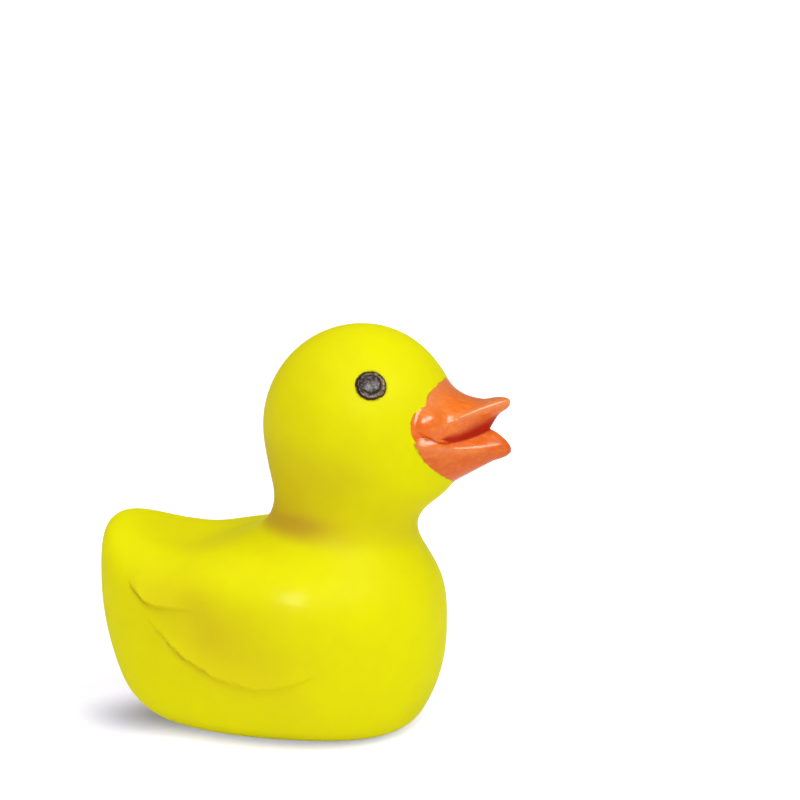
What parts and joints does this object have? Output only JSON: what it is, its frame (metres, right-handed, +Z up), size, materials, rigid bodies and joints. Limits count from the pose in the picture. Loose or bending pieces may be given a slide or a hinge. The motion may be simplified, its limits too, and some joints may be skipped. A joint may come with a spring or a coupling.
{
  "type": "duck figurine",
  "caption": "Small moulded duck figurine with an upturned tail, wing relief, an open orange bill and dark eyes, standing on a flat base.",
  "frame": {"origin": "under the middle of the duck's outer box, on the flat face that it stands on", "axes": "+X is the way the duck faces, +Y is to its left, +Z is up"},
  "size_m": [0.0238, 0.015, 0.0231],
  "materials": {
    "duck": "satin yellow paint, with a painted orange bill and black eyes"
  },
  "bodies": {
    "root": {"duck": "duck"}
  },
  "joints": []
}
